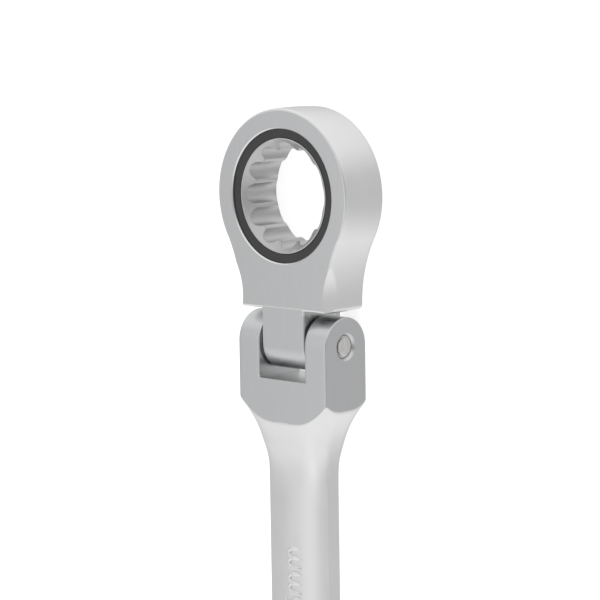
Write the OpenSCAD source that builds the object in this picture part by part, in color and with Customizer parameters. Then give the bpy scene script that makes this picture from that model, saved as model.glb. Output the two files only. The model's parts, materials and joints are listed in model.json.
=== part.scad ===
/* [Overall] */
// Length from the jaw tips to the far side of the ring
overall_l = 218; // [200:1:260]
// Size of the nut across its flats
nut_af = 16; // [15.5:0.1:16.2]
// Extra room across the flats in the ring and in the jaw
nut_gap = 0.1; // [0.05:0.01:0.2]

/* [Ratchet ring] */
// Outside radius of the ring
ring_r = 15.9; // [15.5:0.1:17]
// Thickness of the ring, the neck and the tang
head_t = 10; // [9.8:0.1:10.4]
// Distance from the flex pin to the middle of the ring
head_reach = 27; // [26.5:0.1:30]
// Radius of the round opening in the ring's front face
opening_r = 12.15; // [12.1:0.01:12.3]
// Inside radius of the lip that holds the gear at the back
back_lip_r = 11.6; // [11.58:0.01:11.7]
// Thickness of that back lip
back_lip_t = 1.2; // [1:0.05:1.3]

/* [Gear] */
// Number of ratchet teeth round the gear
tooth_count = 72; // [72:12:84]
// Radius over the tips of the teeth
tooth_tip_r = 12.05; // [12:0.01:12.06]
// Height of a tooth
tooth_h = 0.5; // [0.4:0.05:0.5]
// Slide room between moving parts in the head
slide_gap = 0.06; // [0.05:0.01:0.08]

/* [Pawl] */
// Width of the pawl across the wrench
pawl_w = 6.8; // [6.4:0.1:7]
// Length of the pawl from its teeth to its back
pawl_l = 4.9; // [4.7:0.1:5]
// How far the pawl backs out of the teeth
pawl_travel = 0.7; // [0.6:0.05:0.8]
// Sideways shift of the pawl and its spring
pawl_shift = 1; // [0.8:0.1:1.2]

/* [Clevis] */
// Width of the clevis over both ears
fork_w = 21.6; // [21:0.1:22.5]
// Thickness of the clevis
fork_t = 10.8; // [10.8:0.1:11.4]
// Width of the slot between the ears
slot_w = 11.3; // [11:0.1:11.6]
// Depth of the slot below the pin
slot_depth = 6.4; // [6:0.1:7]
// Radius of the flex pin
pin_r = 2; // [1.8:0.05:2.2]
// Depth of the pin's ends below the ears' outer faces
pin_recess = 0.25; // [0.1:0.05:0.3]

/* [Shank] */
// Width of the shank
shank_w = 15; // [14:0.1:16]
// Thickness of the shank along its middle
shank_t = 5.4; // [5:0.1:6]
// Thickness of the shank along its edges
shank_edge_t = 2.6; // [2.2:0.1:3]

/* [Open jaw] */
// Radius of the jaw's round outline
jaw_r = 17; // [16.5:0.1:18]
// Thickness of the jaw
jaw_t = 7.6; // [7:0.1:8.2]
// Angle of the jaw's opening to the shank
jaw_angle = 15; // [10:1:20]

/* [Hidden] */
$fn = 96;
cut = 1;                                   // how far a cutting shape runs past a face
wide = 60;                                 // larger than any cross-section

// Heights: the clevis's back face lies at z = 0 and everything shares one middle plane.
mid_z = fork_t / 2;
head_z0 = mid_z - head_t / 2;
head_z1 = mid_z + head_t / 2;

// Places along the wrench, worked out from the two ends of the overall length.
ring_x = overall_l / 2 - ring_r;
pivot_x = ring_x - head_reach;
jaw_half = (nut_af + nut_gap) / 2;         // half the width between the jaws
tip_arc_r = 28;                            // radius of the arc across both jaw tips
tip_arc_back = 18.5;                       // how far that arc's centre lies behind the nut's centre
tip_s = sqrt(tip_arc_r * tip_arc_r - jaw_half * jaw_half) - tip_arc_back;
jaw_x = -overall_l / 2 + tip_s * cos(jaw_angle) + jaw_half * sin(jaw_angle);

// Shank section: flat sides joined by a crowned face, an arc over the full width.
crown_rise = (shank_t - shank_edge_t) / 2;
crown_r = (pow(shank_w / 2, 2) + pow(crown_rise, 2)) / (2 * crown_rise);
flare_lip = 0.05;                          // each flare ends this much proud of the shank
shank_bury = 5;                            // how far the shank runs on inside each flare

// Clevis flare: where its flats end and where it has become the shank.
flare_end = 26;                            // below the pin
side_flat_end = 11.7;                      // below the pin, on the ears' outer faces
front_flat_end = 14.5;                     // below the pin, in the middle of the front face
front_flat_r = 18.5;                       // the front flat ends in an arc of this radius
boss_shift = front_flat_r - front_flat_end;

// Jaw flare
jaw_fillet_r = 26;
jaw_fillet_y = shank_w / 2 + flare_lip + jaw_fillet_r;
jaw_fillet_x = sqrt(pow(jaw_r + jaw_fillet_r, 2) - pow(jaw_fillet_y, 2));
jaw_join_y = jaw_fillet_y * jaw_r / (jaw_r + jaw_fillet_r);

// Neck of the head: a concave side that meets the ring in a smooth tangent.
shoulder_x = 6.3;                          // from the pin to the neck's shoulder
neck_half = 10.8;                          // half width of the neck at its narrowest
neck_low_x = 7;                            // from the pin to that narrowest place
neck_dx = head_reach - neck_low_x;
neck_fillet_r = (neck_dx * neck_dx + neck_half * neck_half - ring_r * ring_r) / (2 * (ring_r - neck_half));
neck_join = neck_fillet_r / (ring_r + neck_fillet_r);
neck_join_x = neck_low_x + neck_dx * neck_join;
neck_join_y = (neck_half + neck_fillet_r) * (1 - neck_join);
relief_x = 8.5;                            // from the pin to the waist of the corner relief
relief_waist_r = 11.05;                    // radius of the relief at its waist
relief_arc_r = 12.8;                       // radius of the relief's concave profile
tang_w = 10.3;
tang_bore_r = pin_r + 0.05;

// Stack of the ratchet, from the back lip to the front face
gear_z0 = head_z0 + back_lip_t + 0.1;
gear_z1 = head_z1 - 2;
clip_t = 0.8;
clip_z0 = gear_z1 + 0.1;
groove_r = 12.8;
clip_inner_r = 11.1;
clip_gap_angle = 24;
cover_z1 = head_z1 - 0.5;
cover_z0 = clip_z0 + clip_t + 0.05;
cover_inner_r = 10.55;
front_collar_r = cover_inner_r - 0.1;
back_collar_r = back_lip_r - 0.1;

// Twelve-point bore
bore_half = (nut_af + nut_gap) / 2;
ridge_r = bore_half / cos(15) + 0.08;      // the ridges are flattened to this radius
corner_r = bore_half / cos(30);
lobe_r = 1.85;                             // each corner is cleared by a wide round lobe
lobe_depth = 0.45;                         // how far the lobe reaches past the corner
lobe_at = corner_r + lobe_depth - lobe_r;
lead_r = 10.2;                             // mouth of the lead-in cone

// Ratchet tooth, as shares of one pitch: steep flank, tip, long back, root
tooth_pitch = 360 / tooth_count;
steep_share = 0.1;
tip_share = 0.12;
back_share = 0.66;
pawl_teeth_from = -20;                     // the pawl's teeth cover this stretch, in degrees
pawl_teeth_to = 10;

// Pawl pocket and spring
pawl_z0 = gear_z0 + 0.15;
pawl_z1 = gear_z1 - 0.15;
pawl_back = tooth_tip_r - tooth_h + pawl_l;
pocket_back = pawl_back + pawl_travel + 0.2;
spring_hole_r = 1.3;
spring_front = pawl_back - 2.5;
spring_back = pocket_back + 2.2;
spring_wire_r = 0.18;
spring_r = 0.95;
spring_turns = 6;
spring_steps = 14;                         // straight stretches in one turn
spring_sides = 8;

// Washers between the ears and the tang
washer_t = 0.3;
washer_dish = 0.08;
washer_r = 4.4;

// ---- outlines ----

// One tooth after another: each starts at its steep flank.
function tooth_outline(tip_r, root_r) = [
    for (i = [0 : tooth_count - 1])
        for (p = [[0, tip_r], [tip_share, tip_r], [tip_share + back_share, root_r], [1 - steep_share, root_r]])
            let (a = -(i + p[0]) * tooth_pitch) [p[1] * cos(a), p[1] * sin(a)]
];

module twelve_point() {
    circle(ridge_r);
    for (a = [0, 30]) rotate(a) circle(corner_r, $fn = 6);
    for (i = [0 : 11]) rotate(i * 30) translate([lobe_at, 0]) circle(lobe_r, $fn = 48);
}

module head_outline() {
    circle(ring_r);
    difference() {
        translate([-head_reach + shoulder_x, -neck_join_y])
            square([neck_join_x - shoulder_x, 2 * neck_join_y]);
        for (s = [-1, 1])
            translate([-neck_dx, s * (neck_half + neck_fillet_r)]) circle(neck_fillet_r, $fn = 192);
    }
}

module jaw_outline() {
    intersection() {
        circle(jaw_r);
        rotate(jaw_angle) translate([tip_arc_back, 0]) circle(tip_arc_r, $fn = 192);
    }
    difference() {
        translate([0, -jaw_join_y]) square([jaw_fillet_x, 2 * jaw_join_y]);
        for (s = [-1, 1])
            translate([jaw_fillet_x, s * jaw_fillet_y]) circle(jaw_fillet_r, $fn = 192);
    }
}

// Half-plane strip whose upper edge rises along an arc from (0, low) to (run, high).
module rising_strip(run, low, high) {
    arc_r = (run * run + pow(high - low, 2)) / (2 * (high - low));
    difference() {
        square([run, high]);
        translate([0, low + arc_r]) circle(arc_r, $fn = 192);
    }
}

// Round boss about a vertical axis: full thickness inside flat_r, the shank's thickness at end_r.
module boss(flat_r, end_r, t) {
    for (s = [0, 1]) mirror([0, 0, s]) rotate_extrude() {
        translate([end_r, 0]) mirror([1, 0]) rising_strip(end_r - flat_r, shank_t / 2 + flare_lip, t / 2);
        square([flat_r, t / 2]);
    }
}

// ---- handle ----

module shank() {
    start_x = jaw_x + jaw_fillet_x - shank_bury;
    translate([start_x, 0, mid_z]) rotate([90, 0, 90])
        linear_extrude(pivot_x - flare_end + shank_bury - start_x) intersection() {
            square([shank_w, shank_t], center = true);
            for (s = [-1, 1]) translate([0, s * (crown_r - shank_t / 2)]) circle(crown_r, $fn = 192);
        }
}

// Trims the flare's corners so that it takes up the shank's edges: a revolved shape along the wrench.
module flare_trim() {
    start_r = norm([shank_w, shank_edge_t]) / 2 + flare_lip;
    full_r = norm([fork_w, fork_t]) / 2 + 0.1;
    run = flare_end - side_flat_end;
    rotate([0, 90, 0]) rotate_extrude() rotate(90) mirror([0, 1]) {
        rising_strip(run, start_r, full_r);
        translate([run, 0]) square([side_flat_end + cut, full_r]);
    }
}

module clevis_flare() {
    intersection() {
        translate([pivot_x - flare_end, 0, 0]) linear_extrude(fork_t) for (s = [0, 1]) mirror([0, s]) {
            rising_strip(flare_end - side_flat_end, shank_w / 2 + flare_lip, fork_w / 2);
            translate([flare_end - side_flat_end, 0]) square([side_flat_end, fork_w / 2]);
        }
        translate([pivot_x + boss_shift, 0, mid_z]) boss(front_flat_r, flare_end + boss_shift, fork_t);
        translate([pivot_x - flare_end, 0, mid_z]) flare_trim();
    }
}

module across(r, w) {
    translate([pivot_x, 0, mid_z]) rotate([90, 0, 0]) cylinder(r = r, h = w, center = true);
}

module clevis() {
    sink = pin_r + 0.43;
    difference() {
        union() {
            clevis_flare();
            across(fork_t / 2, fork_w);
        }
        translate([pivot_x - slot_depth, -slot_w / 2, -cut])
            cube([slot_depth + fork_t, slot_w, fork_t + 2 * cut]);
        across(pin_r, fork_w + 2 * cut);
        for (s = [-1, 1]) translate([pivot_x, s * fork_w / 2, mid_z]) rotate([s * 90, 0, 0])
            cylinder(r1 = sink, r2 = pin_r, h = sink - pin_r);
    }
}

module open_jaw() {
    difference() {
        intersection() {
            translate([0, 0, mid_z - jaw_t / 2]) linear_extrude(jaw_t) jaw_outline();
            translate([0, 0, mid_z]) boss(jaw_r, jaw_fillet_x, jaw_t);
        }
        rotate(jaw_angle) translate([0, 0, -cut]) linear_extrude(fork_t + 2 * cut) {
            translate([-wide, -jaw_half]) square([wide, 2 * jaw_half]);
            circle(jaw_half / cos(30), $fn = 6);
        }
    }
}

module handle() {
    color([0.78, 0.79, 0.8]) {
        clevis();
        shank();
        translate([jaw_x, 0, 0]) open_jaw();
    }
}

// ---- flex joint ----

module flex_pin() {
    bevel = 0.2;
    color([0.7, 0.71, 0.73]) union() {
        across(pin_r, fork_w - 2 * (pin_recess + bevel));
        for (s = [-1, 1]) translate([pivot_x, s * (fork_w / 2 - pin_recess - bevel), mid_z])
            rotate([-s * 90, 0, 0]) cylinder(r1 = pin_r, r2 = pin_r - bevel, h = bevel);
    }
}

// A slightly dished washer, its hollow side towards the tang.
module spring_washer() {
    rotate_extrude() polygon([
        [pin_r + 0.1, washer_dish], [washer_r, 0], [washer_r, washer_t], [pin_r + 0.1, washer_t + washer_dish]
    ]);
}

module place_washer(side) {
    room = (slot_w - tang_w) / 2;
    inset = (room - washer_t - washer_dish) / 2;
    color([0.55, 0.56, 0.58]) translate([pivot_x, side * (tang_w / 2 + inset), mid_z])
        rotate([-side * 90, 0, 0]) spring_washer();
}

module left_spring_washer() {
    place_washer(1);
}

module right_spring_washer() {
    place_washer(-1);
}

// ---- head ----

module pawl_pocket() {
    side_gap = 0.08;
    translate([-pocket_back, pawl_shift - pawl_w / 2 - side_gap, pawl_z0 - side_gap])
        cube([pocket_back - tooth_tip_r + 2, pawl_w + 2 * side_gap, pawl_z1 - pawl_z0 + 2 * side_gap]);
    translate([-spring_back, pawl_shift, mid_z]) rotate([0, 90, 0])
        cylinder(r = spring_hole_r, h = spring_back - pocket_back + cut, $fn = 48);
}

module gear_seat() {
    bevel = 0.2;
    translate([0, 0, head_z0 - cut]) cylinder(r = back_lip_r, h = head_t);
    translate([0, 0, head_z0 - cut]) cylinder(r1 = back_lip_r + bevel + cut, r2 = back_lip_r, h = bevel + cut);
    translate([0, 0, head_z0 + back_lip_t]) cylinder(r = opening_r, h = head_t);
    translate([0, 0, clip_z0]) cylinder(r = groove_r, h = clip_t);
    translate([0, 0, head_z1 - bevel]) cylinder(r1 = opening_r, r2 = opening_r + bevel + cut, h = bevel + cut);
}

// Ring-shaped cutter, its front half only, that thins the neck's two front corners towards the shoulder.
module corner_relief() {
    intersection() {
        translate([relief_x - head_reach, 0, mid_z]) rotate([0, 90, 0]) rotate_extrude()
            translate([relief_waist_r + relief_arc_r, 0]) circle(relief_arc_r, $fn = 192);
        translate([-60, -60, mid_z]) cube([120, 120, 60]);
    }
}

module head_housing() {
    color([0.78, 0.79, 0.8]) difference() {
        union() {
            translate([ring_x, 0, 0]) difference() {
                translate([0, 0, head_z0]) linear_extrude(head_t) head_outline();
                corner_relief();
            }
            translate([pivot_x, -tang_w / 2, head_z0]) cube([shoulder_x + cut, tang_w, head_t]);
            across(head_t / 2, tang_w);
        }
        across(tang_bore_r, fork_w);
        translate([ring_x, 0, 0]) {
            gear_seat();
            pawl_pocket();
        }
    }
}

module drive_gear() {
    lead = lead_r - ridge_r;
    rim_z0 = head_z0 + 0.3;
    color([0.62, 0.62, 0.62]) translate([ring_x, 0, 0]) difference() {
        union() {
            translate([0, 0, gear_z0]) linear_extrude(gear_z1 - gear_z0)
                polygon(tooth_outline(tooth_tip_r, tooth_tip_r - tooth_h));
            translate([0, 0, rim_z0]) cylinder(r = back_collar_r, h = gear_z0 - rim_z0 + cut);
            translate([0, 0, gear_z1 - cut]) cylinder(r = front_collar_r, h = cover_z1 - gear_z1 + cut);
        }
        translate([0, 0, rim_z0 - cut]) linear_extrude(head_t + 2 * cut) twelve_point();
        translate([0, 0, rim_z0 - cut]) cylinder(r1 = lead_r + cut, r2 = ridge_r, h = lead + cut);
        translate([0, 0, cover_z1 - lead]) cylinder(r1 = ridge_r, r2 = lead_r + cut, h = lead + cut);
    }
}

// Open snap ring that sits in the housing's groove, over the gear's teeth.
module retaining_ring() {
    gap_w = 2 * groove_r * sin(clip_gap_angle / 2);
    color([0.5, 0.51, 0.53]) translate([ring_x, 0, clip_z0 + 0.03]) difference() {
        cylinder(r = groove_r - 0.02, h = clip_t - 0.06);
        translate([0, 0, -cut]) cylinder(r = clip_inner_r, h = clip_t + 2 * cut);
        translate([0, -gap_w / 2, -cut]) cube([groove_r + cut, gap_w, clip_t + 2 * cut]);
    }
}

module cover_ring() {
    color([0.18, 0.18, 0.19]) translate([ring_x, 0, cover_z0]) difference() {
        cylinder(r = opening_r, h = cover_z1 - cover_z0);
        translate([0, 0, -cut]) cylinder(r = cover_inner_r, h = head_t);
    }
}

// A toothed block. Its teeth are what the gear's outline leaves, and a plain arc clears the gear beyond them.
module pawl() {
    gap_outline = tooth_outline(tooth_tip_r + slide_gap, tooth_tip_r - tooth_h + slide_gap);
    color([0.6, 0.6, 0.62]) translate([ring_x, 0, 0]) difference() {
        translate([-pawl_back, pawl_shift - pawl_w / 2, pawl_z0])
            cube([pawl_l + 1, pawl_w, pawl_z1 - pawl_z0]);
        translate([0, 0, -cut]) linear_extrude(fork_t + 2 * cut) {
            polygon(gap_outline);
            difference() {
                circle(tooth_tip_r + 0.2);
                polygon([
                    [0, 0],
                    for (a = [pawl_teeth_from, pawl_teeth_to]) 2 * ring_r * [cos(180 + a), sin(180 + a)]
                ]);
            }
        }
        translate([-pawl_back - cut, pawl_shift, mid_z]) rotate([0, 90, 0])
            cylinder(r = spring_hole_r, h = pawl_back - spring_front + cut, $fn = 48);
    }
}

// Round wire that follows a helix along X, from x0 to x1.
module coil(x0, x1, coil_r, wire_r, turns) {
    rings = turns * spring_steps;
    rise = (x1 - x0 - 2 * wire_r) / rings;
    points = [
        for (i = [0 : rings])
            let (a = i * 360 / spring_steps, x = x0 + wire_r + i * rise)
                for (k = [0 : spring_sides - 1])
                    let (b = k * 360 / spring_sides, r = coil_r + wire_r * cos(b))
                        [x + wire_r * sin(b), r * cos(a), r * sin(a)]
    ];
    walls = [
        for (i = [0 : rings - 1])
            for (k = [0 : spring_sides - 1])
                let (a = i * spring_sides, n = (k + 1) % spring_sides)
                    for (f = [[a + k, a + n, a + spring_sides + k], [a + n, a + spring_sides + n, a + spring_sides + k]]) f
    ];
    first = [for (k = [spring_sides - 1 : -1 : 0]) k];
    last = [for (k = [0 : spring_sides - 1]) rings * spring_sides + k];
    polyhedron(points, concat(walls, [first, last]));
}

module pawl_spring() {
    color([0.65, 0.65, 0.67]) translate([ring_x, pawl_shift, mid_z])
        coil(-spring_back + 0.02, -spring_front - 0.02, spring_r, spring_wire_r, spring_turns);
}

handle();
flex_pin();
left_spring_washer();
right_spring_washer();
head_housing();
drive_gear();
retaining_ring();
cover_ring();
pawl();
pawl_spring();
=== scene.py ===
# %% [markdown]
# # A flex-head ratchet wrench, dressed for its portrait
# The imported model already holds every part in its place. This script keeps that frame as it is and builds
# the surfaces that show: the forged handle, the ratchet head, the gear, the cover ring, the pin and the mark.
# Every surface is worked out with numpy in millimetres and turned into a mesh in metres.

# %% Load the frame
import json

import bmesh
import bpy
import numpy as np
from mathutils import Matrix, Vector


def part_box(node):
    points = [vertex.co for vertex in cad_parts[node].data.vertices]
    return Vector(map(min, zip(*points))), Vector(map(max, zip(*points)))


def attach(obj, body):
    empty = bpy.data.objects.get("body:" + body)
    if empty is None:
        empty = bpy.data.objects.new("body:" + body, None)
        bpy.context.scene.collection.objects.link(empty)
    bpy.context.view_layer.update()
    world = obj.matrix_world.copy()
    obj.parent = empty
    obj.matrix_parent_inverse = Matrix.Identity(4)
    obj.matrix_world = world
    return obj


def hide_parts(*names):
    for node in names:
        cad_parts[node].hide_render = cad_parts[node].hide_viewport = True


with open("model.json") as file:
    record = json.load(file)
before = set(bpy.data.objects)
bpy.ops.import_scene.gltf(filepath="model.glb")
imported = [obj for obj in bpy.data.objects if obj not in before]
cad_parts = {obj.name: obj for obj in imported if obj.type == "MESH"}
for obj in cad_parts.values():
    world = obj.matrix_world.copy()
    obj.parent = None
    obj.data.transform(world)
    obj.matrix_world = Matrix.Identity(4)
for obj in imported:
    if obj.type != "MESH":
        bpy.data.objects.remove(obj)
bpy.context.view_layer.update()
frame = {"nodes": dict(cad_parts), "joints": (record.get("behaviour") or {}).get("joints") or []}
MM = 0.001


def node_box(node):
    """Lowest and highest corner of a CAD node, in millimetres."""
    low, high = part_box(node)
    return np.array(low) / MM, np.array(high) / MM


pin_low, pin_high = node_box("flex_pin")
gear_low, gear_high = node_box("drive_gear")
head_high = node_box("head_housing")[1]
handle_low = node_box("handle")[0]
pin_x = (pin_low[0] + pin_high[0]) / 2       # the flex pin's place along the wrench
mid_z = (pin_low[2] + pin_high[2]) / 2       # the plane midway between front and back
ring_x = (gear_low[0] + gear_high[0]) / 2    # the ring's middle
ring_r = head_high[0] - ring_x               # and its radius
print(f"pin at x {pin_x:.1f} mm, ring at x {ring_x:.1f} mm, middle plane at z {mid_z:.1f} mm")

# %% [markdown]
# ## The camera
# A small product is photographed with a long lens, so that its far end doesn't shrink. The camera looks down
# on the lying wrench with the ring at the top of the picture. It is placed by its direction from the flex
# pin, and turned so that the pin falls a little below the middle.

# %% Camera
VIEW_TURN = np.radians(42.9)     # from the front face towards the right-hand ear
VIEW_RISE = np.radians(8.3)      # towards the ring
VIEW_ROLL = np.radians(-0.9)
CAMERA_DISTANCE = 430
LENS = 141.4                     # focal length for a 36 mm film
AIM_ASIDE = np.radians(0.025)    # the camera then looks this far past the pin's left
AIM_UP = np.radians(1.02)        # and this far above it
TO_CAMERA = (np.sin(VIEW_RISE), -np.sin(VIEW_TURN) * np.cos(VIEW_RISE), np.cos(VIEW_TURN) * np.cos(VIEW_RISE))


def look_from(distance, toward, roll):
    """Camera matrix for a view of the flex pin from one direction. The camera is then turned aside, up and
    about its own axis, each turn a cosine and a sine of two of its axes."""
    place = np.array([pin_x, 0, mid_z]) + distance * toward
    right = np.array([0, -np.cos(VIEW_TURN), -np.sin(VIEW_TURN)])
    up = np.cross(toward, right)
    yaw, pitch = AIM_ASIDE, -AIM_UP
    back = toward * np.cos(yaw) + right * np.sin(yaw)
    right = right * np.cos(yaw) - toward * np.sin(yaw)
    back, up = back * np.cos(pitch) + up * np.sin(pitch), up * np.cos(pitch) - back * np.sin(pitch)
    right, up = right * np.cos(roll) + up * np.sin(roll), up * np.cos(roll) - right * np.sin(roll)
    matrix = np.eye(4)
    matrix[:3, 0], matrix[:3, 1], matrix[:3, 2], matrix[:3, 3] = right, up, back, place * MM
    return Matrix(matrix.tolist())


camera_data = bpy.data.cameras.new("portrait_camera")
camera_data.sensor_width = 36
camera_data.lens = LENS
camera_data.clip_start = 0.01
camera = bpy.data.objects.new("portrait_camera", camera_data)
camera.matrix_world = look_from(CAMERA_DISTANCE, np.array(TO_CAMERA), VIEW_ROLL)
bpy.context.scene.collection.objects.link(camera)
bpy.context.scene.camera = camera
print(f"lens {camera_data.lens:.0f} mm at {CAMERA_DISTANCE} mm")

# %% [markdown]
# ## Sheets into meshes
# A surface is a sheet: an array of points with rows and columns. Several sheets that share their border
# points make one closed piece once the doubled points are merged, so each helper below stays short.

# %% Mesh helpers
MERGE_DISTANCE = 1e-6
SMOOTH_ANGLE = np.radians(32)
EXACTLY_FLAT = 0.99999


def sheet_faces(rows, columns, closed_rows, closed_columns):
    """Four corners of every cell of a sheet: a point, its neighbours along the row and the column, and the
    one across. A closed direction joins its last line to its first."""
    r = np.arange(rows if closed_rows else rows - 1)[:, None]
    c = np.arange(columns if closed_columns else columns - 1)[None, :]
    r2, c2 = (r + 1) % rows, (c + 1) % columns
    corners = [r * columns + c, r * columns + c2, r2 * columns + c2, r2 * columns + c]
    return np.stack(corners, -1).reshape(-1, 4)


def sheet(points, closed_rows=False, closed_columns=False):
    """A sheet ready for build(): its points as a list, and its faces."""
    rows, columns = points.shape[:2]
    return points.reshape(-1, 3), sheet_faces(rows, columns, closed_rows, closed_columns)


def build(name, sheets):
    """One mesh object from sheets in millimetres: merges shared borders and turns all faces outwards."""
    starts = np.cumsum([0] + [len(points) for points, _ in sheets])
    points = np.concatenate([points for points, _ in sheets]) * MM
    faces = np.concatenate([cells + start for (_, cells), start in zip(sheets, starts)])
    mesh = bpy.data.meshes.new(name)
    mesh.from_pydata(points.tolist(), [], faces.tolist())
    work = bmesh.new()
    work.from_mesh(mesh)
    bmesh.ops.remove_doubles(work, verts=work.verts, dist=MERGE_DISTANCE)
    bmesh.ops.dissolve_degenerate(work, edges=work.edges, dist=MERGE_DISTANCE)
    bmesh.ops.recalc_face_normals(work, faces=work.faces)
    open_edges = sum(edge.is_boundary for edge in work.edges)
    work.to_mesh(mesh)
    work.free()
    piece = bpy.data.objects.new(name, mesh)
    bpy.context.scene.collection.objects.link(piece)
    print(f"{name}: {len(mesh.polygons)} faces, {open_edges} open edges")
    return piece


def cut(piece, tool, operation="DIFFERENCE"):
    """Subtracts or adds another closed mesh, and removes that tool."""
    step = piece.modifiers.new("cut", "BOOLEAN")
    step.operation, step.solver, step.object = operation, "MANIFOLD", tool
    finished = piece.evaluated_get(bpy.context.evaluated_depsgraph_get())
    mesh = bpy.data.meshes.new_from_object(finished)
    piece.modifiers.clear()
    piece.data = mesh
    bpy.data.objects.remove(tool)


def face_directions(mesh):
    """Every face's normal, with its signs dropped, its x, and its distance from the middle plane."""
    normals, centres = (np.zeros(len(mesh.polygons) * 3, np.float32) for _ in range(2))
    mesh.polygons.foreach_get("normal", normals)
    mesh.polygons.foreach_get("center", centres)
    centres = centres.reshape(-1, 3) / MM
    return np.abs(normals.reshape(-1, 3)), centres[:, 0], np.abs(centres[:, 1])


def outline_flats(mesh, low_x, high_x):
    """Marks the border of the front and back flats as sharp edges, in a stretch of x. An edge is on a border
    when its faces are not all flat or all curved, which the least and the greatest of their marks tell."""
    counts, edges = np.zeros(len(mesh.polygons), np.int32), np.zeros(len(mesh.loops), np.int32)
    mesh.polygons.foreach_get("loop_total", counts)
    mesh.loops.foreach_get("edge_index", edges)
    normals, x, _ = face_directions(mesh)
    flat = np.repeat((normals[:, 2] > EXACTLY_FLAT) & (x > low_x) & (x < high_x), counts)
    least, most = np.ones(len(mesh.edges), bool), np.zeros(len(mesh.edges), bool)
    np.minimum.at(least, edges, flat)
    np.maximum.at(most, edges, flat)
    sharp = np.zeros(len(mesh.edges), bool)
    mesh.edges.foreach_get("use_edge_sharp", sharp)
    mesh.edges.foreach_set("use_edge_sharp", sharp | (least != most))


def smooth(piece, angle=SMOOTH_ANGLE, crisp=None):
    """Smooth shading that keeps real edges sharp, with normals that favour the large flat faces. Ground flats
    in the stretch of x given as crisp keep a crisp border."""
    piece.data.polygons.foreach_set("use_smooth", np.ones(len(piece.data.polygons), bool))
    piece.data.set_sharp_from_angle(angle=angle)
    if crisp:
        outline_flats(piece.data, *crisp)
    weighted = piece.modifiers.new("weighted_normals", "WEIGHTED_NORMAL")
    weighted.keep_sharp = True


def box_tool(name, low, high):
    """A plain box from its lowest to its highest corner, as a closed sheet of four rings."""
    (x0, y0, z0), (x1, y1, z1) = low, high
    ring = np.array([[y0, z0], [y1, z0], [y1, z1], [y0, z1]])
    middle = ring.mean(0) + 0 * ring
    rows = [np.concatenate([np.full((4, 1), x), r], 1) for x, r in
            ((x0, middle), (x0, ring), (x1, ring), (x1, middle))]
    return build(name, [sheet(np.stack(rows), closed_columns=True)])


def arc(start, end, steps):
    """Angles in radians from start to end degrees."""
    return np.radians(np.linspace(start, end, steps + 1))


def smooth_step(x, low, high):
    """0 below low, 1 above high, and the cubic 3t^2 - 2t^3 between."""
    t = np.clip((x - low) / (high - low), 0, 1)
    return t * t * (3 - 2 * t)


def soft_max(a, b, k):
    """The larger of two values, with the corner between them rounded over a distance k."""
    h = np.maximum(k - np.abs(a - b), 0) / k
    return np.maximum(a, b) + h * h * k / 4


def bisect(inside, low, high, steps=40):
    """The argument at which inside() turns positive, found by halving the range of a whole array."""
    low, high = np.broadcast_arrays(np.array(low, float), np.array(high, float))
    for _ in range(steps):
        middle = (low + high) / 2
        out = inside(middle) > 0
        low, high = np.where(out, low, middle), np.where(out, middle, high)
    return (low + high) / 2


def revolve(radii, places, steps, axis, centre):
    """Sheet of a profile turned about an axis: column angle a puts the radius at (cos a, sin a) in the plane
    square to the axis, and the profile's place along the axis."""
    a = np.radians(np.arange(steps) * 360 / steps)[None, :]
    r, p = np.asarray(radii, float)[:, None], np.asarray(places, float)[:, None]
    turned = [r * np.cos(a), r * np.sin(a)]
    turned.insert(axis, p + 0 * a)
    return np.stack(turned, -1) + np.asarray(centre, float)

# %% [markdown]
# ## The handle's forging
# The real handle starts as a drop-forged bar: a crowned shank that swells into a block at each end. The
# block is then ground flat on four sides and slotted. The surface here is made the same way. A smooth bar is
# described by its radius in every direction round the wrench's long axis, the ground block by another
# radius, and the smaller of the two wins. The rows of the sheet follow the line where they meet, so the
# curved lower ends of the flats come out crisp.

# %% Sizes of the clevis and the shank
FORK_HALF_W = 10.8
FORK_HALF_T = 5.4
FORK_EDGE_R = 0.28               # rounding of the clevis's long edges
SLOT_HALF_W = 5.65
SLOT_FLOOR = -6.4                # along the wrench, from the pin
SHANK_HALF_W = 7.5
SHANK_HALF_T = 2.7
SHANK_EDGE_HALF_T = 1.3
CROWN_POWER = 2.6                # how flat the crown is in its middle
SHANK_EDGE_R = 0.3
FLARE_END = -26                  # the flare's width has become the shank's here
THICK_END = -29                  # and its thickness here
FLARE_CUBIC_RUN = 14             # the flare reaches the clevis's width over this run
FLARE_ARC_R = 40.3               # the thickness rises along an arc of this radius
FLARE_POWER = 3.7                # squareness of the flare's section
GRIND_EDGE = 0.12                # rounding where a ground flat meets the forging
GRIND_EDGE_SIDE = 0.35           # the same on the two sides, where it is softer
SIDE_POINTS = 21                 # points of the outline up each side
CREASE_SHARE = 0.955             # the crown's columns end at this share of its half width
EDGE_SHARE = 0.72                # and the flat side's at this share of its half height


def crown(y):
    """Half thickness of the shank at y: an edge height plus a rise times 1 - |y / half width| ^ power."""
    rise = SHANK_HALF_T - SHANK_EDGE_HALF_T
    return SHANK_EDGE_HALF_T + rise * (1 - np.abs(y / SHANK_HALF_W) ** CROWN_POWER)


def shank_radius(angle):
    """Radius of the shank's section: flat sides and a crowned face, softly joined."""
    def outside(r):
        y, z = r * np.cos(angle), np.abs(r * np.sin(angle))
        return soft_max(np.abs(y) - SHANK_HALF_W, z - crown(y), SHANK_EDGE_R)
    return bisect(outside, 0 * angle, 0 * angle + 12)


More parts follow.
